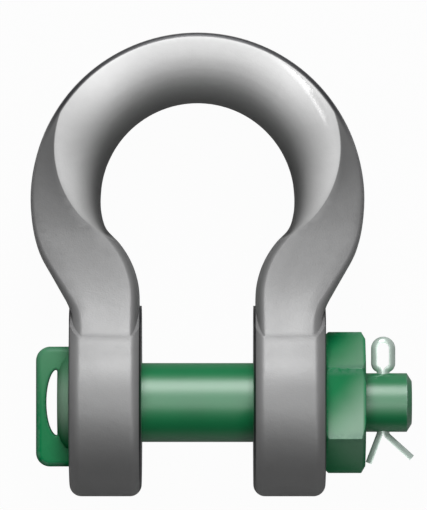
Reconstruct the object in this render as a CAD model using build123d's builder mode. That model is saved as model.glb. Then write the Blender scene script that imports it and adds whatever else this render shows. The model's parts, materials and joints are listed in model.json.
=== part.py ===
from build123d import *
import os
from math import acos, asin, atan2, cos, degrees, floor, radians, sin, sqrt, tan

# A wide body bow shackle lying on its side, in millimetres.
# X runs along the bolt, with its head at -X and its nut at +X. Y runs from the bolt to the crown. Z is up.
# The origin is on the bolt's axis, midway between the ears.

# Bolt shank, ears and jaw
shank_dia = 80
eye_clearance = 0.5
jaw_gap = 113
ear_thickness = 73
ear_dia = 190
ear_edge_round = 12
pad_height = 2
pad_dia = 196
eye_chamfer = 2

# Bow, seen from the front
inside_length = 263
bow_inside_dia = 196
crown_thickness = 71
neck_radius = 90
neck_overlap = 8.4
neck_blend = 25
shoulder_angle = 105
shoulder_radius = 90
flank_slope = 30
flank_blend = 45

# Bow, seen from the side
crown_width = 190
waist_width = 100
waist_below_bow = 45
flare_top_above_bow = 105
flare_top_blend = 20

# Saddle: the ridge between its crowned bearing surface and the leg's front
rim_width = 5.5
rim_round = 3
rim_blend = 10
leg_edge_round = 11
ridge_arc_radius = 102
ridge_leaves_rim_at = 39
ridge_rise = 7
ridge_rise_slope = 25
ridge_rise_blend = 6
back_bulge = 2
crown_fullness = 0.64
leg_fullness = 0.8

# Slices that the body is lofted through
leg_foot_y = 60
neck_slice_step = 12.5
bow_slice_step = 10
neck_blend_margin = 7
leg_inset = 0.3
neck_setback = 8

# Bolt head
face_gap = 0.3
head_length = 33.5
head_height = 121
head_drop = 4
head_thickness = 38
head_corner_round = 14
head_edge_round = 6
grip_corner_round = 1.5
grip_edge_round = 3
collar_dia = 100
collar_length = 12
collar_dome_length = 15.5
grip_length = 11.5
grip_height = 67

# Nut and threaded end
thread_dia = 68
thread_clearance = 0.08
nut_thickness = 40
nut_across_flats = 124
nut_chamfer_dia = 129
nut_chamfer_angle = 30
nut_seat_chamfer = 2.7
nut_mouth_chamfer = 3
end_dia = 59.5
end_length = 47
end_chamfer_length = 5
end_chamfer_depth = 8

# Split pin
pin_from_nut = 18.2
pin_dia = 12.4
pin_hole_dia = 13.2
pin_leg_gap = 0.4
pin_eye_width = 24.5
pin_eye_height = 37
pin_eye_base_radius = 3
pin_neck_radius = 7.5
pin_seat_gap = 0.4
pin_bend_radius = 9
inner_leg_bend = 21
inner_leg_length = 31
outer_leg_bend = 48
outer_leg_length = 32

# Worked out from the sizes above
shank_r = shank_dia / 2
eye_r = shank_r + eye_clearance
bow_inner_r = bow_inside_dia / 2
bow_outer_r = bow_inner_r + crown_thickness
bow_y = shank_r + inside_length - bow_inner_r
waist_y = bow_y - waist_below_bow
flare_top_y = bow_y + flare_top_above_bow
leg_inner_x = jaw_gap / 2 + pad_height
leg_outer_x = jaw_gap / 2 + ear_thickness - pad_height
ear_face_x = jaw_gap / 2 + ear_thickness
waist_half = waist_width / 2
ear_r = ear_dia / 2
thread_r = thread_dia / 2
end_r = end_dia / 2

# The side outline: one concave arc from the ear's circle to the waist, another from the waist to the crown
ear_flare_r = (waist_y**2 + waist_half**2 - ear_r**2) / (2 * (ear_r - waist_half))
crown_rise = crown_width / 2 - waist_half
crown_flare_r = ((flare_top_y - waist_y) ** 2 + crown_rise**2) / (2 * crown_rise)

# Where the neck's circle cuts into the bow's, as an angle from the crown. The radial slices end before it.
neck_reach = bow_inner_r + neck_radius - neck_overlap
neck_centre_x = -leg_inner_x - neck_radius
neck_centre = Vector(neck_centre_x, bow_y - sqrt(neck_reach**2 - neck_centre_x**2))
neck_direction = 90 + degrees(atan2(bow_y - neck_centre.Y, -neck_centre.X))
corner_cosine = (bow_inner_r**2 + neck_reach**2 - neck_radius**2) / (2 * bow_inner_r * neck_reach)
corner_angle = neck_direction - degrees(acos(corner_cosine))
last_bow_slice = bow_slice_step * floor((corner_angle - neck_blend_margin) / bow_slice_step)


def rounded_min(first, second, blend):
    """The smaller of two values, with a rounded change from one to the other."""
    closeness = max(blend - abs(first - second), 0)
    return min(first, second) - closeness**2 / (4 * blend)


def half_width(y):
    """Half the body's width, seen from the side, at a height above the bolt's axis."""
    arc_r = ear_flare_r if y < waist_y else crown_flare_r
    flare = waist_half + arc_r - sqrt(arc_r**2 - (y - waist_y) ** 2)
    return rounded_min(flare, crown_width / 2, flare_top_blend) if y > waist_y else flare


def ridge_radius(angle):
    """Distance of the ridge from the bow's centre, at an angle from the crown."""
    centre_offset = bow_outer_r - ridge_arc_radius
    along = centre_offset * cos(radians(max(abs(angle) - ridge_leaves_rim_at, 0)))
    arc = along + sqrt(along**2 - centre_offset**2 + ridge_arc_radius**2)
    return rounded_min(bow_outer_r - rim_width, arc, rim_blend)


def body_slice(outside, inside, setback, ridge_half, drop, corner, fullness):
    """A slice across the body, from its outside to its inside.

    The ridge is the slice's widest point, set back from the inside. The saddle curves down from it to the
    inside, and the leg's front falls by drop from it to the outer corner.
    """
    across = inside - outside
    depth = across.length
    outer_half = ridge_half - drop
    heel = Vector(back_bulge, outer_half - corner)
    rim = Vector(back_bulge + corner, outer_half)
    ridge = Vector(depth - setback, ridge_half)
    towards_ridge = (ridge - rim).normalized()
    with BuildSketch(Plane(outside, x_dir=across, z_dir=across.cross(Vector(0, 0, 1)))) as one_slice:
        with BuildLine():
            TangentArc((0, 0), heel, tangent=(0, 1))
            Bezier(heel, heel + Vector(0, corner / 2), rim - towards_ridge * (corner / 2), rim)
            Line(rim, ridge)
            Bezier(
                ridge,
                ridge + Vector(fullness * setback, 0),
                (depth, fullness * ridge_half),
                (depth, 0),
            )
            mirror(about=Plane.XZ)
        make_face()
    return one_slice.sketch


# The neck's outside: the end of the crown's circle, a tighter shoulder, the sloping flank, the upright leg
shoulder_turn = flank_slope - (shoulder_angle - 90)
with BuildLine() as neck_outside:
    rim_end = CenterArc((0, bow_y), bow_outer_r, 90 + last_bow_slice, shoulder_angle - last_bow_slice)
    shoulder = JernArc(rim_end @ 1, rim_end % 1, shoulder_radius, shoulder_turn)
    flank_run = (-leg_outer_x - (shoulder @ 1).X) / sin(radians(flank_slope))
    flank = Line(shoulder @ 1, (shoulder @ 1) + (shoulder % 1) * flank_run)
    Line(flank @ 1, (-leg_outer_x, leg_foot_y))
    fillet(neck_outside.vertices().sort_by_distance(flank @ 1)[0], flank_blend)

# The neck's inside: the end of the bow's circle, the convex neck and the upright leg
with BuildLine() as neck_inside:
    bow_end = CenterArc((0, bow_y), bow_inner_r, 90 + last_bow_slice, corner_angle - last_bow_slice)
    to_corner = (bow_end @ 1) - neck_centre
    neck_sweep = degrees(atan2(to_corner.Y, to_corner.X))
    neck = CenterArc(neck_centre, neck_radius, neck_sweep, -neck_sweep)
    Line(neck @ 1, (-leg_inner_x, leg_foot_y))
    fillet(neck_inside.vertices().sort_by_distance(neck @ 0)[0], neck_blend)


def neck_slice(share, side):
    """A slice of the leg and neck: share is 0 at the foot in the ear and 1 at the shoulder."""
    outside = neck_outside.wire().position_at(1 - share)
    inside = neck_inside.wire().position_at(1 - share)
    corner = leg_edge_round + (rim_round - leg_edge_round) * share
    setback = leg_edge_round + (neck_setback - leg_edge_round) * share
    ridge_y = inside.Y + (outside.Y - inside.Y) * setback / (inside - outside).length
    return body_slice(
        Vector(outside.X * side, outside.Y),
        Vector(inside.X * side, inside.Y),
        setback,
        half_width(ridge_y) - leg_inset * (1 - share),
        ridge_rise * share**2,
        corner,
        leg_fullness,
    )


def bow_slice(angle):
    """A radial slice of the bow, at an angle from the crown."""
    outward = Vector(-sin(radians(angle)), cos(radians(angle)))
    centre = Vector(0, bow_y)
    ridge_at = ridge_radius(angle)
    flank_width = bow_outer_r - ridge_at - back_bulge - rim_round
    share = (abs(angle) / last_bow_slice) ** 2
    return body_slice(
        centre + outward * bow_outer_r,
        centre + outward * bow_inner_r,
        ridge_at - bow_inner_r,
        half_width(bow_y + ridge_at * cos(radians(angle))),
        rounded_min(ridge_rise, flank_width * tan(radians(ridge_rise_slope)), ridge_rise_blend),
        rim_round,
        crown_fullness + (leg_fullness - crown_fullness) * share,
    )


# One ear: the eye's circle and the flares that run up from it into the leg, with a rounded edge
flare_foot = ear_r / (ear_r + ear_flare_r)
foot_y = waist_y * flare_foot
foot_half = (waist_half + ear_flare_r) * flare_foot
ear_top_y = pad_dia / 2 + pad_height
with BuildPart() as ear:
    with BuildSketch(Plane.YZ.offset(jaw_gap / 2)):
        with BuildLine():
            RadiusArc((foot_y, foot_half), (ear_top_y, half_width(ear_top_y)), -ear_flare_r)
            Line((ear_top_y, half_width(ear_top_y)), (ear_top_y, 0))
            mirror(about=Plane.XZ)
            ThreePointArc((foot_y, foot_half), (-ear_r, 0), (foot_y, -foot_half))
        make_face()
    extrude(amount=ear_thickness)
    fillet(ear.faces().filter_by(Axis.X).edges().filter_by(GeomType.CIRCLE), ear_edge_round)
    with BuildSketch(Plane.YZ.offset(jaw_gap / 2)):
        Circle(pad_dia / 2)
    extrude(amount=ear_thickness, mode=Mode.INTERSECT)

# The forged body: one loft from the left ear over the crown to the right ear, and the two ears
neck_slices = round(neck_outside.wire().length / neck_slice_step)
neck_shares = [number / neck_slices for number in range(neck_slices)]
bow_angles = range(last_bow_slice, -last_bow_slice - 1, -bow_slice_step)
slices = [neck_slice(share, 1) for share in neck_shares]
slices += [bow_slice(angle) for angle in bow_angles]
slices += [neck_slice(share, -1) for share in reversed(neck_shares)]
with BuildPart() as bow:
    loft(slices)
    add(ear.part)
    mirror(ear.part, about=Plane.YZ)
    with BuildSketch(Plane.YZ):
        Circle(eye_r)
    extrude(amount=ear_face_x, both=True, mode=Mode.SUBTRACT)
    eye_rims = bow.faces().filter_by(Axis.X).edges().filter_by(GeomType.CIRCLE)
    chamfer(eye_rims.filter_by(lambda edge: abs(edge.radius - eye_r) < eye_clearance), eye_chamfer)
bow.part.label = "bow"

# The bolt's head starts clear of the left ear, and its nut clear of the right one
head_x = -ear_face_x - face_gap
grip_x = head_x - collar_length
nut_x = ear_face_x + face_gap
nut_end_x = nut_x + nut_thickness
bolt_end_x = nut_end_x + end_length
thread_x = ear_face_x - (shank_r - thread_r)
pin_x = nut_end_x + pin_from_nut
dome_sweep = asin(collar_length / collar_dome_length)
dome_end_r = collar_dia / 2 * cos(dome_sweep)

with BuildPart() as bolt:
    # The flat forged head
    with BuildSketch(Plane.XY):
        with Locations((head_x, -head_drop)):
            head_outline = Rectangle(head_length, head_height, align=(Align.MAX, Align.CENTER))
        fillet(head_outline.vertices().group_by(Axis.X)[0], head_corner_round)
    extrude(amount=head_thickness / 2, both=True)
    head_rims = bolt.faces().filter_by(Axis.Z).edges()
    fillet(head_rims.filter_by(lambda edge: edge.center().X < head_x - face_gap), head_edge_round)

    # Its see-through grip: half an ellipse with its flat side against the collar
    with BuildSketch(Plane.XY) as grip:
        with BuildLine():
            grip_arc = EllipticalCenterArc(
                (grip_x, 0), grip_length, grip_height / 2, start_angle=90, arc_size=180
            )
            Line(grip_arc @ 0, grip_arc @ 1)
        make_face()
        fillet(grip.vertices(), grip_corner_round)
    extrude(amount=head_thickness / 2, both=True, mode=Mode.SUBTRACT)
    grip_rims = [face.inner_wires()[0].edges() for face in bolt.faces().filter_by(Axis.Z)]
    fillet(ShapeList(edge for rim in grip_rims for edge in rim), grip_edge_round)

    # Collar, shank, threaded stretch and plain end, turned about the bolt's axis
    with BuildSketch(Plane.XY):
        with BuildLine():
            Line((grip_x, 0), (grip_x, dome_end_r))
            EllipticalCenterArc(
                (head_x, 0),
                collar_dome_length,
                collar_dia / 2,
                start_angle=90,
                arc_size=degrees(dome_sweep),
            )
            Polyline(
                (head_x, collar_dia / 2),
                (head_x, shank_r),
                (thread_x, shank_r),
                (ear_face_x, thread_r),
                (nut_end_x - (thread_r - end_r), thread_r),
                (nut_end_x, end_r),
                (bolt_end_x - end_chamfer_length, end_r),
                (bolt_end_x, end_r - end_chamfer_depth),
                (bolt_end_x, 0),
                (grip_x, 0),
            )
        make_face()
    revolve(axis=Axis.X)

    # The cross hole for the split pin
    with BuildSketch(Plane.XZ):
        with Locations((pin_x, 0)):
            Circle(pin_hole_dia / 2)
    extrude(amount=end_dia, both=True, mode=Mode.SUBTRACT)
bolt.part.label = "bolt"

# The nut: a hexagon with corners up and down, bored for the thread. Cones take its corners off at both ends
# than at its seat on the ear.
nut_bore_r = thread_r + thread_clearance
nut_corner_r = nut_across_flats / sqrt(3)
nut_chamfer_r = nut_chamfer_dia / 2
nut_corner_drop = (nut_corner_r - nut_chamfer_r) * tan(radians(nut_chamfer_angle))
with BuildPart() as nut:
    with BuildSketch(Plane.YZ.offset(nut_x)):
        RegularPolygon(nut_across_flats / 2, 6, major_radius=False)
        Circle(nut_bore_r, mode=Mode.SUBTRACT)
    extrude(amount=nut_thickness)
    chamfer(nut.edges().filter_by(GeomType.CIRCLE), nut_mouth_chamfer)
    with BuildSketch(Plane.XY):
        with BuildLine():
            Polyline(
                (nut_x, 0),
                (nut_x, nut_corner_r - nut_seat_chamfer),
                (nut_x + nut_seat_chamfer, nut_corner_r),
                (nut_end_x - nut_corner_drop, nut_corner_r),
                (nut_end_x, nut_chamfer_r),
                (nut_end_x, 0),
                close=True,
            )
        make_face()
    revolve(axis=Axis.X, mode=Mode.INTERSECT)
nut.part.label = "nut"

# The split pin: a half-round wire, up one side of the cross hole, round the eye and down the other side.
# Its path is the wire's flat face, and each leg's bend starts just under the bolt.
wire_r = pin_dia / 2
flat_x = pin_leg_gap / 2
eye_r_inside = pin_eye_width / 2 - wire_r
eye_foot_y = end_r + pin_seat_gap
eye_top_y = end_r + pin_eye_height - wire_r - eye_r_inside
flare_out = eye_r_inside - flat_x
flare_radii = pin_eye_base_radius + pin_neck_radius
flare_turn = degrees(acos(1 - flare_out / flare_radii))
flare_rise = flare_radii * sin(radians(flare_turn))
leg_end_y = -end_r - pin_seat_gap


def pin_side(side, bend, leg_length):
    """One side of the wire, from the eye down to the leg's end: side is -1 towards the nut, 1 away."""
    start = (pin_x + side * eye_r_inside, eye_top_y)
    upper_flare_start = (pin_x + side * eye_r_inside, eye_foot_y + flare_rise)
    eye_side = Line(start, upper_flare_start)
    upper_flare = JernArc(eye_side @ 1, (0, -1), pin_eye_base_radius, -side * flare_turn)
    lower_flare = JernArc(upper_flare @ 1, upper_flare % 1, pin_neck_radius, side * flare_turn)
    shaft = Line(lower_flare @ 1, (pin_x + side * flat_x, leg_end_y))
    bent = JernArc(shaft @ 1, (0, -1), pin_bend_radius, side * bend)
    Line(bent @ 1, (bent @ 1) + (bent % 1) * leg_length)


with BuildPart() as split_pin:
    with BuildLine() as pin_path:
        CenterArc((pin_x, eye_top_y), eye_r_inside, 0, 180)
        pin_side(-1, inner_leg_bend, inner_leg_length)
        pin_side(1, outer_leg_bend, outer_leg_length)
    path = pin_path.wire()
    with BuildSketch(Plane(path @ 0, z_dir=path % 0, x_dir=(path % 0).cross(Vector(0, 0, 1)))):
        Circle(wire_r)
        Rectangle(wire_r, pin_dia, align=(Align.MAX, Align.CENTER), mode=Mode.SUBTRACT)
    sweep(path=path)
split_pin.part.label = "split_pin"

os.makedirs("parts", exist_ok=True)
for piece in (bow, bolt, nut, split_pin):
    export_step(piece.part, f"parts/{piece.part.label}.step")
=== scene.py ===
"""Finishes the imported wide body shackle: forged bow, green bolt and nut, zinc split pin and a plain stage."""

import json
import math

import bmesh
import bpy
from bpy.props import FloatProperty, FloatVectorProperty, IntProperty, PointerProperty
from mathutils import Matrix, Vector


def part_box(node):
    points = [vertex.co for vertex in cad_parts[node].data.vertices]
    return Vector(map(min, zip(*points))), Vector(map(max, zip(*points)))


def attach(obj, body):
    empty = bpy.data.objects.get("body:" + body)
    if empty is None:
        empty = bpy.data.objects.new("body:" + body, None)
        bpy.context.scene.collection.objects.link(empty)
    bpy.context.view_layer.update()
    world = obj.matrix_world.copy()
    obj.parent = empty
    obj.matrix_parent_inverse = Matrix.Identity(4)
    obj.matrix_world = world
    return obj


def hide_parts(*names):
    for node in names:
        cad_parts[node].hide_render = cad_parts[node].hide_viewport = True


bl_info = {
    "name": "Wide body shackle finish",
    "version": (1, 0, 0),
    "blender": (4, 5, 0),
    "location": "View3D > Sidebar > Shackle",
    "description": "Gives a packed wide body shackle its steel, paint, zinc and thread, and sets its stage",
    "category": "Object",
}

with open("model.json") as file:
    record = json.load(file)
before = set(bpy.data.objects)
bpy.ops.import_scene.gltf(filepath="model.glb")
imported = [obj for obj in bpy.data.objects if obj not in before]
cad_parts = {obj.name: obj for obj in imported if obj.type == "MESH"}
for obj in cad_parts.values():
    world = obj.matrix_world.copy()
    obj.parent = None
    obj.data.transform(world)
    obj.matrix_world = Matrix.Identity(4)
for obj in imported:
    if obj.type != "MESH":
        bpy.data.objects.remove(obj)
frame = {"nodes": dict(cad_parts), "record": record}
BOW_LOW, BOW_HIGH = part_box("bow")
BOLT_LOW, BOLT_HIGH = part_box("bolt")
NUT_LOW, NUT_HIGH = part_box("nut")
BODY_OF = {node: body for body, nodes in frame["record"]["behaviour"]["bodies"].items() for node in nodes}

# Places on the pieces, in metres. A pair gives where a smooth step begins and where it ends.
BOW_RADIUS = BOW_HIGH.x
BOW_CENTRE_Y = BOW_HIGH.y - BOW_RADIUS
EAR_OUTSIDE = NUT_LOW.x - 0.0003
HEAD_TO_SHANK = (BOLT_LOW.x + 0.034, BOLT_LOW.x + 0.036)
OFF_FRONT_FLAT = (0.0345, 0.0370)

CREASE_ANGLES = {"bolt": math.radians(28), "nut": math.radians(20), "split_pin": math.radians(35)}
WELD_DISTANCE = 2e-6
COPLANAR_ANGLE = math.radians(0.4)

# Each lamp's width and length, and its place.
LAMPS = {
    "key_lamp": ((0.7, 1.3), Vector((0.0, 1.62, 1.35))),
    "fill_lamp": ((1.1, 1.6), Vector((-0.04, 0.3, 1.85))),
    "strip_lamp": ((0.16, 0.95), Vector((0.36, -0.52, 1.19))),
}
FLOOR_HALF = 40.0
FLOOR_GAP = 0.0002
FLOOR_MIRRORED = 0.05


class BowFinish(bpy.types.PropertyGroup):
    """The forged bow's coat and surface."""

    colour: FloatVectorProperty(
        name="Steel grey", description="Colour of the bow's coat", subtype="COLOR", min=0, max=1,
        default=(0.298, 0.298, 0.300),
    )
    roughness: FloatProperty(
        name="Roughness", description="How matte the forged surface is", subtype="FACTOR", min=0, max=1,
        default=0.42,
    )
    metal: FloatProperty(
        name="Metal share", description="How metallic the coat looks", subtype="FACTOR", min=0, max=1,
        default=0.3,
    )
    # Painted shade: the saddle's colour goes from the pale grey below, at its rims, to the dark grey after it,
    # at its middle.
    saddle_colour: FloatVectorProperty(
        name="Saddle grey", description="Colour along the saddle's rims", subtype="COLOR", min=0, max=1,
        default=(0.95, 0.95, 0.95),
    )
    saddle_shade_colour: FloatVectorProperty(
        name="Saddle shade grey", description="Colour of the saddle's middle, painted darker as shade",
        subtype="COLOR", min=0, max=1, default=(0.045, 0.045, 0.045),
    )
    # Painted shade: this dark colour is painted along the crown's rounded rims and on the outer rings of the
    # ears' faces and pads.
    edge_shade_colour: FloatVectorProperty(
        name="Scale", description="Colour of the painted dark scale left on the rims and the ears' faces",
        subtype="COLOR", min=0, max=1, default=(0.07, 0.07, 0.075),
    )
    inside_radius: FloatProperty(
        name="Inside radius", description="Radius of the bow's opening", unit="LENGTH", min=0.01, max=1,
        default=0.098,
    )
    rim_width: FloatProperty(
        name="Rim width", description="From the saddle's edge to the bow's outside at the crown",
        unit="LENGTH", min=0.001, max=0.05, default=0.0055,
    )
    ridge_radius: FloatProperty(
        name="Ridge radius", description="Radius of the arcs that the saddle's rims follow", unit="LENGTH",
        min=0.01, max=1, default=0.102,
    )
    ridge_angle: FloatProperty(
        name="Ridge angle", description="Where the rims' arcs meet the bow's outside, from the crown",
        subtype="ANGLE", min=0, max=math.pi, default=math.radians(39),
    )
    ear_inside: FloatProperty(
        name="Ear inside", description="From the middle of the jaw to an ear's inner face", unit="LENGTH",
        min=0.001, max=1, default=0.0565,
    )
    face_colour: FloatVectorProperty(
        name="Face steel", description="Colour of the machined faces of the ears", subtype="COLOR", min=0,
        max=1, default=(0.40, 0.40, 0.41),
    )
    face_radius: FloatProperty(
        name="Face radius", description="Radius of the machined face on each side of an ear", unit="LENGTH",
        min=0.001, max=1, default=0.098,
    )
    tool_step: FloatProperty(
        name="Tool step", description="Distance between the turning marks on the ears' faces",
        unit="LENGTH", min=0.0002, max=0.01, default=0.0014,
    )
    grain: FloatProperty(
        name="Grain", description="Width of the blasted grain", unit="LENGTH", min=0.0002, max=0.01,
        default=0.0016,
    )
    crease_angle: FloatProperty(
        name="Crease angle", description="Edges sharper than this stay crisp", subtype="ANGLE", min=0,
        max=math.pi, default=math.radians(24),
    )


class PaintFinish(bpy.types.PropertyGroup):
    """The enamel on the bolt and its nut."""

    colour: FloatVectorProperty(
        name="Paint green", description="Colour of the enamel", subtype="COLOR", min=0, max=1,
        default=(0.001, 0.22, 0.07),
    )
    worn_colour: FloatVectorProperty(
        name="Worn green", description="Colour where the enamel thins over an edge", subtype="COLOR", min=0,
        max=1, default=(0.09, 0.27, 0.16),
    )
    # Painted highlight: this paler green and its share paint a sheen on the enamel's colour.
    sheen_colour: FloatVectorProperty(
        name="Painted sheen", description="Colour of the milky bloom painted on as highlight", subtype="COLOR", min=0,
        max=1, default=(0.30, 0.52, 0.36),
    )
    sheen: FloatProperty(
        name="Bloom share", description="How strong the milky bloom is", subtype="FACTOR", min=0, max=1,
        default=0.52,
    )
    roughness: FloatProperty(
        name="Roughness", description="How matte the enamel is", subtype="FACTOR", min=0, max=1,
        default=0.45,
    )
    coat: FloatProperty(
        name="Clear coat", description="Weight of the gloss over the enamel", subtype="FACTOR", min=0,
        max=1, default=1.0,
    )
    edge_round: FloatProperty(
        name="Edge round", description="Radius that takes the sharpness off machined edges", unit="LENGTH",
        min=0, max=0.004, default=0.0008,
    )


class PinFinish(bpy.types.PropertyGroup):
    """The split pin's plated wire."""

    colour: FloatVectorProperty(
        name="Zinc", description="Colour of the plating", subtype="COLOR", min=0, max=1,
        default=(0.70, 0.84, 0.76),
    )
    roughness: FloatProperty(
        name="Roughness", description="How matte the plating is", subtype="FACTOR", min=0, max=1,
        default=0.3,
    )


class ThreadSizes(bpy.types.PropertyGroup):
    """The turns of thread that show inside the nut's mouth."""

    pitch: FloatProperty(
        name="Pitch", description="Advance in one turn", unit="LENGTH", min=0.001, max=0.02, default=0.006,
    )
    crest_radius: FloatProperty(
        name="Crest radius", description="Outside radius of the thread", unit="LENGTH", min=0.005, max=0.1,
        default=0.03395,
    )
    depth: FloatProperty(
        name="Depth", description="From the crest to below the bolt's surface", unit="LENGTH", min=0.001,
        max=0.02, default=0.0045,
    )
    run_out: FloatProperty(
        name="Run-out", description="How much lower the thread's last turn ends", unit="LENGTH", min=0,
        max=0.01, default=0.0016,
    )
    turns: FloatProperty(name="Turns", description="How many turns are made", min=0.5, max=20, default=1.2)
    steps: IntProperty(
        name="Steps per turn", description="Sections in each turn", min=12, max=240, default=96,
    )


class StageSettings(bpy.types.PropertyGroup):
    """Floor, lamps and camera."""

    floor_colour: FloatVectorProperty(
        name="Floor", description="Colour of the floor", subtype="COLOR", min=0, max=1,
        default=(0.38, 0.38, 0.38),
    )
    white_share: FloatProperty(
        name="Floor white", description="How much of the floor is shown as plain white", subtype="FACTOR",
        min=0, max=1, default=0.97,
    )
    sky: FloatProperty(name="Sky", description="Strength of the even light", min=0, max=5, default=0.02)
    key_power: FloatProperty(
        name="Key lamp", description="Power of the lamp beyond the crown", min=0, max=500, unit="POWER",
        default=27,
    )
    fill_power: FloatProperty(
        name="Fill lamp", description="Power of the lamp overhead", min=0, max=500, unit="POWER",
        default=12,
    )
    strip_power: FloatProperty(
        name="Strip lamp", description="Power of the narrow lamp that the polished rim mirrors", min=0,
        max=500, unit="POWER", default=1.8,
    )
    lens: FloatProperty(
        name="Lens", description="Focal length, long enough to look flat", min=35, max=2000, unit="CAMERA",
        default=600,
    )
    view_height: FloatProperty(
        name="View height", description="Height of the picture at the bolt's axis", unit="LENGTH", min=0.1,
        max=5, default=0.5165,
    )
    aim: FloatVectorProperty(
        name="Aim", description="Where the camera looks", subtype="XYZ", unit="LENGTH",
        default=(0.0162, 0.1494, 0.0),
    )


class Signal:
    """A node's output that takes part in Python expressions. Each step adds a node."""

    def __init__(self, shader, socket):
        self.shader = shader
        self.socket = socket

    def _math(self, operation, first, second=None):
        values = {0: first} if second is None else {0: first, 1: second}
        return self.shader.node("ShaderNodeMath", {"operation": operation}, values)

    def __add__(self, other):
        return self._math("ADD", self, other)

    def __radd__(self, other):
        return self._math("ADD", other, self)

    def __sub__(self, other):
        return self._math("SUBTRACT", self, other)

    def __rsub__(self, other):
        return self._math("SUBTRACT", other, self)

    def __mul__(self, other):
        return self._math("MULTIPLY", self, other)

    def __rmul__(self, other):
        return self._math("MULTIPLY", other, self)

    def __truediv__(self, other):
        return self._math("DIVIDE", self, other)

    def __pow__(self, other):
        return self._math("POWER", self, other)

    def __abs__(self):
        return self._math("ABSOLUTE", self)

    def root(self):
        """The square root of this value."""
        return self._math("SQRT", self)

    def sine(self):
        """The sine of this angle."""
        return self._math("SINE", self)

    def cosine(self):
        """The cosine of this angle."""
        return self._math("COSINE", self)

    def angle_from(self, other):
        """The angle whose tangent is this value over another."""
        return self._math("ARCTAN2", self, other)

    def smaller(self, other):
        """The smaller of this and another value."""
        return self._math("MINIMUM", self, other)

    def larger(self, other):
        """The larger of this and another value."""
        return self._math("MAXIMUM", self, other)

    def rise(self, low, high):
        """0 below low, 1 above high, and smooth between them."""
        settings = {"interpolation_type": "SMOOTHSTEP"}
        values = {"Value": self, "From Min": low, "From Max": high}
        return self.shader.node("ShaderNodeMapRange", settings, values, "Result")

    def fall(self, low, high):
        """1 below low, 0 above high, and smooth between them."""
        return 1 - self.rise(low, high)

    def band(self, low, full_low, full_high, high):
        """1 from full_low to full_high, 0 outside low to high, and smooth between them."""
        return self.rise(low, full_low) * self.fall(full_high, high)


class Nodes:
    """A node tree, with one method that adds any node."""

    def __init__(self, tree):
        self.tree = tree

    def node(self, kind, settings, values, output=0):
        """Adds a node: its settings first, then the values or links of its sockets. Returns one output."""
        node = self.tree.nodes.new(kind)
        for setting, value in settings.items():
            setattr(node, setting, value)
        for socket, value in values.items():
            if isinstance(value, Signal):
                self.tree.links.new(value.socket, node.inputs[socket])
            else:
                node.inputs[socket].default_value = value
        return node if output is None else Signal(self, node.outputs[output])


class Shader(Nodes):
    """A material's nodes, worked out from the place on the piece."""

    def __init__(self, name):
        self.material = bpy.data.materials.new(name)
        self.material.use_nodes = True
        super().__init__(self.material.node_tree)
        self.tree.nodes.clear()
        self.place = self.node("ShaderNodeTexCoord", {}, {}, "Object")
        axes = self.node("ShaderNodeSeparateXYZ", {}, {"Vector": self.place}, None)
        self.x, self.y, self.z = (Signal(self, axes.outputs[axis]) for axis in "XYZ")

    def from_axis(self):
        """Distance from the bolt's axis."""
        return (self.y * self.y + self.z * self.z).root()

    def noise(self, width, detail=3, rough=0.5, stretch=(1, 1, 1)):
        """Noise from 0 to 1 whose blots are about this wide, in metres."""
        place = self.place
        if stretch != (1, 1, 1):
            place = self.node("ShaderNodeMapping", {}, {"Vector": place, "Scale": stretch})
        values = {"Vector": place, "Scale": 1 / width, "Detail": detail, "Roughness": rough}
        return self.node("ShaderNodeTexNoise", {}, values, "Fac")

    def mix(self, share, first, second):
        """One colour turning into another as share goes from 0 to 1."""
        mixed = self.node("ShaderNodeMix", {"data_type": "RGBA"}, {"Factor": share}, None)
        for socket, value in ((mixed.inputs[6], first), (mixed.inputs[7], second)):
            if isinstance(value, Signal):
                self.tree.links.new(value.socket, socket)
            else:
                socket.default_value = (*value, 1)
        return Signal(self, mixed.outputs[2])

    def shade(self, colour, factor):
        """A colour made lighter or darker by a factor."""
        return self.node(
            "ShaderNodeVectorMath", {"operation": "SCALE"}, {"Vector": colour, "Scale": factor}, "Vector"
        )

    def bump(self, height, strength=1.0, distance=0.001):
        """A normal that follows a height given as 0 to 1."""
        values = {"Height": height, "Strength": strength, "Distance": distance}
        return self.node("ShaderNodeBump", {}, values, "Normal")

    def finish(self, **sockets):
        """Ends the tree in one Principled shader, with socket names written with underscores."""
        values = {name.replace("_", " "): value for name, value in sockets.items()}
        surface = self.node("ShaderNodeBsdfPrincipled", {}, values)
        self.node("ShaderNodeOutputMaterial", {}, {"Surface": surface}, None)
        return self.material


def share_of_saddle(steel, look):
    """How deep a point lies in the saddle, how far round the bow it lies, and how far from the bow's centre.

    The depth is below 0 outside the saddle, 0 at its edge and 1 at the bow's inside. The angle is 0 where the
    rims' arcs meet the bow's outside, below 0 at the crown and above 0 towards the necks.
    """
    shallowest = 0.004
    up = steel.y - BOW_CENTRE_Y
    side = abs(steel.x)
    reach = (up * up + side * side).root()
    turned = side.angle_from(up) - look.ridge_angle
    offset = BOW_RADIUS - look.ridge_radius
    along = offset * turned.larger(0).cosine()
    ridge = along + (along * along + (look.ridge_radius**2 - offset**2)).root()
    ridge = ridge.smaller(BOW_RADIUS - look.rim_width)
    return (ridge - reach) / (ridge - look.inside_radius).larger(shallowest), turned, reach


def saddle_painted_shading(share, turned):
    """Painted shade across the saddle: 1 along its rims and 0 at the bow's inside, and less at the necks and
    the crown.
    """
    rim_share = 0.1
    power_at_crown, less_at_necks = 1.8, 0.65
    dark_necks, dark_crown = 0.72, 0.16
    depth = (share.larger(rim_share) - rim_share) / (1 - rim_share)
    falling = power_at_crown - less_at_necks * turned.rise(0, math.radians(38))
    at_necks = turned.rise(math.radians(27), math.radians(72))
    at_crown = turned.fall(math.radians(-25), math.radians(8))
    return ((1 - depth**falling) * (1 - dark_necks * at_necks - dark_crown * at_crown)).larger(0)


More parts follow.
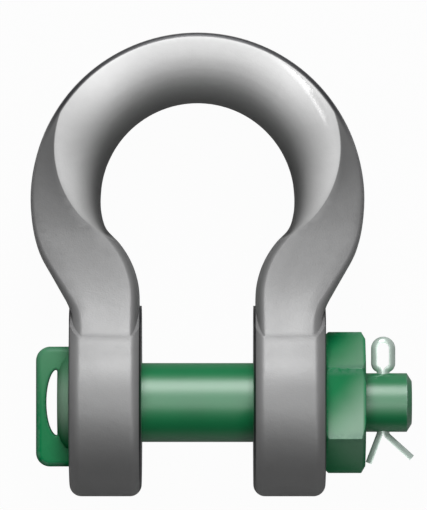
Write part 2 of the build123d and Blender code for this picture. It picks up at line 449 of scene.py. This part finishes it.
def rubbed_streak(steel, share, turned):
    """1 along a streak beside one rim of the saddle, which slings have polished, and 0 elsewhere."""
    lead_angle, streak_angle = math.radians(15), math.radians(38)
    first_share, drift, bend = 0.02, 0.185, 1.6
    full_width, faded_width = 0.02, 0.085
    along = ((turned + lead_angle) / streak_angle).larger(0).smaller(1)
    middle = first_share + drift * along**bend
    ends = along.band(0, 0.4, 0.75, 1)
    one_side = steel.x.rise(0, 0.02)
    return abs(share - middle).fall(full_width, faded_width) * ends * one_side


def rim_painted_shade(steel, reach):
    """1 on the rounded edge between the crown's saddle and the bow's outside, where dark shade is painted, and
    0 elsewhere.
    """
    normal = steel.node("ShaderNodeNewGeometry", {}, {}, "Normal")
    axes = steel.node("ShaderNodeSeparateXYZ", {}, {"Vector": normal}, None)
    upright = abs(Signal(steel, axes.outputs["Z"]))
    near_crown = steel.y.rise(BOW_CENTRE_Y + 0.05, BOW_CENTRE_Y + 0.10)
    outside = reach.rise(BOW_RADIUS - 0.007, BOW_RADIUS - 0.004)
    return upright.band(0.15, 0.4, 0.9, 0.985) * outside * near_crown


def machined_faces(steel, look):
    """1 on the ears' machined faces, 1 on their outer rings and the pads' edges, where dark shade is painted,
    and the marks that the turning left.
    """
    ring_width, ring_fade, edge_fade = 0.015, 0.0015, 0.0008
    side = abs(steel.x)
    from_axis = steel.from_axis()
    inside = look.ear_inside
    inner = side.band(inside - 0.002, inside - 0.001, inside + 0.0018, inside + 0.0026)
    outer = side.rise(EAR_OUTSIDE - 0.0014, EAR_OUTSIDE - 0.0008)
    faces = (inner + outer).smaller(1) * from_axis.fall(look.face_radius, look.face_radius + edge_fade)
    ring_inside = look.face_radius - ring_width
    shaded_rings = faces * from_axis.rise(ring_inside, ring_inside + ring_fade)
    marks = 0.5 + 0.5 * (from_axis * (2 * math.pi / look.tool_step)).sine()
    return faces, shaded_rings, marks


def forged_steel(look):
    """The bow's satin grey coat over a blasted forging, with machined ear faces, a saddle painted pale at its
    rims and dark inside as shade, and painted dark shade on the rims and the pads' edges.
    """
    steel = Shader("forged_steel")
    share, turned, reach = share_of_saddle(steel, look)
    saddle = share.rise(-0.01, 0.02)
    painted_shading = saddle_painted_shading(share, turned)
    rim_shade = rim_painted_shade(steel, reach)
    rubbed = rubbed_streak(steel, share, turned)
    faces, shaded_rings, marks = machined_faces(steel, look)
    blots = steel.noise(width=0.07, detail=3, rough=0.55)
    dents = steel.noise(width=0.035, detail=2, rough=0.5)
    pits = steel.noise(width=0.012, detail=4, rough=0.6)
    grain = steel.noise(width=look.grain, detail=2, rough=0.6)
    parting = abs(steel.z).fall(0.0006, 0.0022) * (1 - saddle) * (1 - faces)
    # Painted shade: the saddle is painted pale at its rims and nearly black at the bow's inside.
    bright = steel.mix(painted_shading, tuple(look.saddle_shade_colour), tuple(look.saddle_colour))
    coat = steel.mix(saddle, tuple(look.colour), bright)
    coat = steel.mix(faces, coat, tuple(look.face_colour))
    # Painted shade: the rims' rounded edges and the rings at the pads' edges are painted dark.
    coat = steel.mix(rim_shade.larger(shaded_rings), coat, tuple(look.edge_shade_colour))
    tone = 0.91 + 0.10 * blots + 0.08 * pits - 0.10 * parting
    height = 0.5 * pits + 0.25 * grain + 0.6 * dents + 0.5 * parting + 0.15 * faces * marks
    return steel.finish(
        Base_Color=steel.shade(coat, tone),
        Metallic=look.metal * (1 - saddle) + 0.5 * faces,
        Roughness=look.roughness - 0.06 + 0.10 * blots + 0.06 * grain - 0.06 * saddle - 0.08 * faces,
        Coat_Weight=rubbed,
        Coat_Roughness=0.16,
        Coat_IOR=2.3,
        Normal=steel.bump(height, strength=0.35, distance=0.0012),
    )


def bolt_edges(paint):
    """1 along the rims of the bolt's flat head and of its far end, and 0 elsewhere."""
    head = paint.x.fall(BOLT_LOW.x + 0.030, BOLT_LOW.x + 0.034)
    rim = abs(paint.z).band(0.0125, 0.0165, 0.0184, 0.01895)
    tip = BOLT_HIGH.x
    end = paint.x.band(tip - 0.0068, tip - 0.0050, tip - 0.0046, tip - 0.0032)
    return (head * rim + end).smaller(1)


def nut_edges(paint):
    """1 along the nut's corners, less along the rims of its two ends, and 0 elsewhere."""
    end_share = 0.6
    from_axis = paint.from_axis()
    corners = from_axis.rise(0.0672, 0.0706)
    inner_end = paint.x.fall(NUT_LOW.x + 0.001, NUT_LOW.x + 0.003)
    outer_end = paint.x.rise(NUT_HIGH.x - 0.003, NUT_HIGH.x - 0.001)
    return (corners + end_share * (inner_end + outer_end) * from_axis.rise(0.0585, 0.0605)).smaller(1)


def bolt_gloss(paint):
    """Share of gloss on the bolt: full on its turned end, less on its shank and least on its forged head."""
    on_head, more_on_shank, more_on_end = 0.1, 0.8, 0.1
    end = paint.x.rise(NUT_HIGH.x - 0.004, NUT_HIGH.x)
    return on_head + more_on_shank * paint.x.rise(*HEAD_TO_SHANK) + more_on_end * end


def bolt_painted_sheen(paint):
    """Share of painted sheen on the bolt: a paler green painted as highlight over its forged head, more towards
    its upper edge, and more on the collar's dome, which the ear shades.
    """
    on_grip, on_dome = 0.55, 1.9
    dome = abs(paint.z).rise(0.0192, 0.024) * abs(paint.y).fall(0.008, 0.046)
    # Painted highlight: the grip gets paler towards its upper edge, and the dome paler still.
    grip = paint.y.rise(-0.03, 0.06) * (1 - dome)
    return paint.x.fall(*HEAD_TO_SHANK) * (on_grip * grip + on_dome * dome)


def under_front_flat(paint):
    """1 on the nut past its front flat, on the side away from the bow, and 0 elsewhere."""
    begin, end = OFF_FRONT_FLAT
    return paint.y.fall(-end, -begin)


def nut_gloss(paint):
    """Share of gloss on the nut, uneven as its painted sheen is."""
    least, most, duller_below = 0.06, 0.94, 0.8
    return least + most * nut_painted_sheen(paint) * (1 - duller_below * under_front_flat(paint))


def nut_painted_sheen(paint):
    """Share of painted sheen on the nut: a paler green painted over its flats as highlights, ramped unevenly
    across them.
    """
    along = (paint.x - NUT_LOW.x) * (1 / (NUT_HIGH.x - NUT_LOW.x))
    upper = paint.y.rise(*OFF_FRONT_FLAT)
    lower = under_front_flat(paint)
    # Painted highlight: the sheen ramps across each flat, so each flat is painted from dark to pale.
    sheen_ramp = 0.5 * along - paint.y * 14 + 0.75 * upper + (paint.y * 28 + 0.8) * lower
    sheen_ramp = sheen_ramp + 0.3 * (paint.noise(width=0.05, detail=2, rough=0.5) - 0.5)
    on_flats = paint.x.band(NUT_LOW.x + 0.0005, NUT_LOW.x + 0.003, NUT_HIGH.x - 0.004, NUT_HIGH.x - 0.0005)
    return sheen_ramp.rise(-0.15, 0.75) * on_flats


def enamel(look, name, edges, gloss, sheen):
    """Green enamel with a slight orange peel. Functions of the paint give its worn edges, gloss and painted
    sheen.
    """
    most_wear = 0.8
    paint = Shader(name)
    peel = paint.noise(width=0.0022, detail=2, rough=0.5)
    blots = paint.noise(width=0.03, detail=3, rough=0.5)
    scuffs = paint.noise(width=0.009, detail=4, rough=0.7)
    wear = edges(paint) * scuffs.rise(0.36, 0.62)
    # Painted highlight: a paler green is mixed into the enamel's colour where the sheen function gives it.
    coat = paint.mix(sheen(paint) * look.sheen, tuple(look.colour), tuple(look.sheen_colour))
    colour = paint.mix(wear * most_wear, paint.shade(coat, 0.9 + 0.2 * blots), tuple(look.worn_colour))
    return paint.finish(
        Base_Color=colour,
        Roughness=look.roughness - 0.04 + 0.10 * blots + 0.15 * wear,
        Specular_IOR_Level=0.08,
        Coat_Weight=look.coat * gloss(paint),
        Coat_Roughness=0.38,
        Coat_IOR=1.9,
        Normal=paint.bump(peel + 0.5 * scuffs, strength=0.12, distance=0.0006),
    )


def zinc(look):
    """Bright zinc plating with faint drawing marks."""
    plating = Shader("zinc_plating")
    marks = plating.noise(width=0.0015, detail=3, rough=0.6, stretch=(1, 0.12, 1))
    blots = plating.noise(width=0.008, detail=2, rough=0.5)
    return plating.finish(
        Base_Color=plating.shade(tuple(look.colour), 0.9 + 0.16 * blots),
        Metallic=0.35,
        Roughness=look.roughness - 0.05 + 0.14 * marks,
        Normal=plating.bump(marks, strength=0.15, distance=0.0003),
    )


def finished_copy(node, name, crease_angle, edge_round=0.0):
    """A smooth-shaded copy of a CAD node, with its hard edges kept crisp or slightly rounded."""
    mesh = frame["nodes"][node].data.copy()
    mesh.name = name
    mesh.materials.clear()
    shape = bmesh.new()
    shape.from_mesh(mesh)
    bmesh.ops.remove_doubles(shape, verts=shape.verts, dist=WELD_DISTANCE)
    if edge_round:
        bmesh.ops.dissolve_limit(shape, angle_limit=COPLANAR_ANGLE, verts=shape.verts, edges=shape.edges)
    for edge in shape.edges:
        edge.smooth = edge.calc_face_angle(0) < crease_angle
    for face in shape.faces:
        face.smooth = True
    shape.to_mesh(mesh)
    shape.free()
    piece = bpy.data.objects.new(name, mesh)
    bpy.context.scene.collection.objects.link(piece)
    if edge_round:
        bevel = piece.modifiers.new("edge_round", "BEVEL")
        bevel.width = edge_round
        bevel.segments = 2
        bevel.limit_method = "ANGLE"
        bevel.angle_limit = crease_angle
        bevel.harden_normals = True
        made_real(piece)
    return piece


def made_real(piece):
    """Turns a piece and its modifiers into one plain mesh."""
    evaluated = piece.evaluated_get(bpy.context.evaluated_depsgraph_get())
    mesh = bpy.data.meshes.new_from_object(evaluated)
    piece.modifiers.clear()
    piece.data = mesh
    mesh.name = piece.name


def thread_nodes(material):
    """Nodes that sweep a triangle along a right-hand helix round the bolt, and their inputs by name."""
    tree = bpy.data.node_groups.new("bolt_thread", "GeometryNodeTree")
    inputs = {}
    for name in ("Start", "Pitch", "Crest radius", "Depth", "Run-out", "Turns"):
        inputs[name] = tree.interface.new_socket(name, in_out="INPUT", socket_type="NodeSocketFloat")
    inputs["Steps"] = tree.interface.new_socket("Steps", in_out="INPUT", socket_type="NodeSocketInt")
    tree.interface.new_socket("Thread", in_out="OUTPUT", socket_type="NodeSocketGeometry")
    nodes = Nodes(tree)
    given = nodes.node("NodeGroupInput", {}, {}, None).outputs
    start, pitch, crest, depth, run_out, turns, steps = (Signal(nodes, given[name]) for name in inputs)
    to_crest = depth * (2 / 3)
    middle = crest - to_crest
    helix = nodes.node("GeometryNodeCurveSpiral", {}, {
        "Resolution": steps, "Rotations": turns, "Start Radius": middle, "End Radius": middle - run_out,
        "Height": pitch * turns, "Reverse": True,
    })
    upright = nodes.node("GeometryNodeSetCurveNormal", {"mode": "Z_UP"}, {"Curve": helix})
    section = nodes.node("GeometryNodeCurvePrimitiveCircle", {"mode": "RADIUS"}, {
        "Resolution": 3, "Radius": to_crest,
    })
    swept = nodes.node("GeometryNodeCurveToMesh", {}, {
        "Curve": upright, "Profile Curve": section, "Fill Caps": True,
    })
    place = nodes.node("ShaderNodeCombineXYZ", {}, {"X": start})
    turned = nodes.node("GeometryNodeTransform", {}, {
        "Geometry": swept, "Translation": place, "Rotation": (0, math.pi / 2, 0),
    })
    real = nodes.node("GeometryNodeRealizeInstances", {}, {"Geometry": turned})
    painted = nodes.node("GeometryNodeSetMaterial", {}, {"Geometry": real, "Material": material})
    nodes.node("NodeGroupOutput", {}, {"Thread": painted}, None)
    return tree, inputs


def stands_for(piece, node):
    """The piece rides with the node's body and is shown in the node's place, which is hidden."""
    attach(piece, BODY_OF[node])
    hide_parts(node)


class SHACKLE_OT_bow(bpy.types.Operator):
    """Finish the forged bow"""

    bl_idname = "shackle.finish_bow"
    bl_label = "Finish bow"

    def execute(self, context):
        look = context.scene.shackle_bow
        piece = finished_copy("bow", "forged_bow", look.crease_angle)
        piece.data.materials.append(forged_steel(look))
        stands_for(piece, "bow")
        return {"FINISHED"}


class SHACKLE_OT_bolt(bpy.types.Operator):
    """Finish the painted bolt and its nut"""

    bl_idname = "shackle.finish_bolt_and_nut"
    bl_label = "Finish bolt and nut"

    def execute(self, context):
        look = context.scene.shackle_paint
        bolt = finished_copy("bolt", "painted_bolt", CREASE_ANGLES["bolt"])
        bolt.data.materials.append(enamel(look, "bolt_enamel", bolt_edges, bolt_gloss, bolt_painted_sheen))
        stands_for(bolt, "bolt")
        nut = finished_copy("nut", "painted_nut", CREASE_ANGLES["nut"], look.edge_round)
        nut.data.materials.append(enamel(look, "nut_enamel", nut_edges, nut_gloss, nut_painted_sheen))
        stands_for(nut, "nut")
        return {"FINISHED"}


class SHACKLE_OT_thread(bpy.types.Operator):
    """Sweep the last turn of thread that shows inside the nut's mouth"""

    bl_idname = "shackle.finish_thread"
    bl_label = "Finish thread"

    def execute(self, context):
        sizes = context.scene.shackle_thread
        paint = enamel(context.scene.shackle_paint, "thread_enamel", bolt_edges, bolt_gloss, bolt_painted_sheen)
        tree, inputs = thread_nodes(paint)
        sunk_in_mouth = 0.0008
        piece = bpy.data.objects.new("bolt_thread", bpy.data.meshes.new("bolt_thread"))
        context.scene.collection.objects.link(piece)
        growth = piece.modifiers.new("thread", "NODES")
        growth.node_group = tree
        values = {
            "Start": NUT_HIGH.x - sizes.pitch * sizes.turns - sunk_in_mouth, "Pitch": sizes.pitch,
            "Crest radius": sizes.crest_radius, "Depth": sizes.depth, "Run-out": sizes.run_out,
            "Turns": sizes.turns, "Steps": sizes.steps,
        }
        for name, value in values.items():
            growth[inputs[name].identifier] = value
        made_real(piece)
        shape = bmesh.new()
        shape.from_mesh(piece.data)
        bmesh.ops.recalc_face_normals(shape, faces=shape.faces)
        shape.to_mesh(piece.data)
        shape.free()
        if not len(piece.data.polygons):
            raise RuntimeError("the thread has no faces")
        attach(piece, BODY_OF["bolt"])
        return {"FINISHED"}


class SHACKLE_OT_pin(bpy.types.Operator):
    """Finish the plated split pin"""

    bl_idname = "shackle.finish_split_pin"
    bl_label = "Finish split pin"

    def execute(self, context):
        piece = finished_copy("split_pin", "plated_split_pin", CREASE_ANGLES["split_pin"])
        piece.data.materials.append(zinc(context.scene.shackle_pin))
        stands_for(piece, "split_pin")
        return {"FINISHED"}


class SHACKLE_OT_stage(bpy.types.Operator):
    """Set up the floor, the lamps and the camera"""

    bl_idname = "shackle.set_stage"
    bl_label = "Set stage"

    def execute(self, context):
        stage = context.scene.shackle_stage
        scene = context.scene
        scene.view_settings.view_transform = "Standard"
        world = bpy.data.worlds.new("even_sky")
        world.use_nodes = True
        backdrop = world.node_tree.nodes["Background"]
        backdrop.inputs["Color"].default_value = (1, 1, 1, 1)
        backdrop.inputs["Strength"].default_value = stage.sky
        scene.world = world
        self.add_floor(stage)
        aim = Vector(stage.aim)
        for name, power in zip(LAMPS, (stage.key_power, stage.fill_power, stage.strip_power)):
            self.add_lamp(name, power, *LAMPS[name], aim)
        camera = bpy.data.objects.new("camera", bpy.data.cameras.new("camera"))
        camera.data.lens = stage.lens
        half_angle = math.atan(camera.data.sensor_width / 2 / stage.lens)
        camera.location = aim + Vector((0, 0, stage.view_height / 2 / math.tan(half_angle)))
        scene.collection.objects.link(camera)
        scene.camera = camera
        return {"FINISHED"}

    def add_floor(self, stage):
        """Adds a floor that the camera sees as plain white, and that light meets as pale and matte."""
        level = min(BOW_LOW.z, BOLT_LOW.z, NUT_LOW.z) - FLOOR_GAP
        mesh = bpy.data.meshes.new("floor")
        corners = [(x * FLOOR_HALF, y * FLOOR_HALF, level) for x, y in ((-1, -1), (1, -1), (1, 1), (-1, 1))]
        mesh.from_pydata(corners, [], [(0, 1, 2, 3)])
        floor = bpy.data.objects.new("floor", mesh)
        bpy.context.scene.collection.objects.link(floor)
        paper = Shader("pale_floor")
        rays = paper.node("ShaderNodeLightPath", {}, {}, None).outputs
        seen = Signal(paper, rays["Is Camera Ray"])
        passed = Signal(paper, rays["Is Transmission Ray"])
        mirrored = Signal(paper, rays["Is Glossy Ray"])
        matte = paper.node("ShaderNodeBsdfDiffuse", {}, {"Color": (*stage.floor_colour, 1)})
        plain = paper.node("ShaderNodeEmission", {}, {"Color": (1, 1, 1, 1), "Strength": 1.0})
        share = seen.larger(passed).larger(mirrored * FLOOR_MIRRORED) * stage.white_share
        shown = paper.node("ShaderNodeMixShader", {}, {0: share, 1: matte, 2: plain})
        paper.node("ShaderNodeOutputMaterial", {}, {"Surface": shown}, None)
        mesh.materials.append(paper.material)

    def add_lamp(self, name, power, size, place, aim):
        """Adds a rectangular lamp that shines at the aim."""
        lamp = bpy.data.lights.new(name, "AREA")
        lamp.shape = "RECTANGLE"
        lamp.energy = power
        lamp.size, lamp.size_y = size
        holder = bpy.data.objects.new(name, lamp)
        holder.location = place
        holder.rotation_euler = (aim - place).to_track_quat("-Z", "Y").to_euler()
        bpy.context.scene.collection.objects.link(holder)


class SHACKLE_PT_panel(bpy.types.Panel):
    """Lists the shackle's pieces and settings in the sidebar."""

    bl_idname = "SHACKLE_PT_panel"
    bl_label = "Wide body shackle"
    bl_space_type = "VIEW_3D"
    bl_region_type = "UI"
    bl_category = "Shackle"

    def draw(self, context):
        for operator in OPERATORS:
            self.layout.operator(operator.bl_idname)
        for name, group in GROUPS.items():
            box = self.layout.box()
            for setting in group.__annotations__:
                box.prop(getattr(context.scene, name), setting)


GROUPS = {
    "shackle_bow": BowFinish,
    "shackle_paint": PaintFinish,
    "shackle_pin": PinFinish,
    "shackle_thread": ThreadSizes,
    "shackle_stage": StageSettings,
}
OPERATORS = (SHACKLE_OT_bow, SHACKLE_OT_bolt, SHACKLE_OT_thread, SHACKLE_OT_pin, SHACKLE_OT_stage)


def register():
    """Adds the settings, the operators and the panel."""
    for group in (*GROUPS.values(), *OPERATORS, SHACKLE_PT_panel):
        bpy.utils.register_class(group)
    for name, group in GROUPS.items():
        setattr(bpy.types.Scene, name, PointerProperty(type=group))


def unregister():
    """Takes away what register added."""
    for name in GROUPS:
        delattr(bpy.types.Scene, name)
    for group in reversed((*GROUPS.values(), *OPERATORS, SHACKLE_PT_panel)):
        bpy.utils.unregister_class(group)


def main():
    """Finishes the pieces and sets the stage."""
    register()
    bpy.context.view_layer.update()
    bpy.ops.shackle.finish_bow()
    bpy.ops.shackle.finish_bolt_and_nut()
    bpy.ops.shackle.finish_thread()
    bpy.ops.shackle.finish_split_pin()
    bpy.ops.shackle.set_stage()


if __name__ == "__main__":
    main()
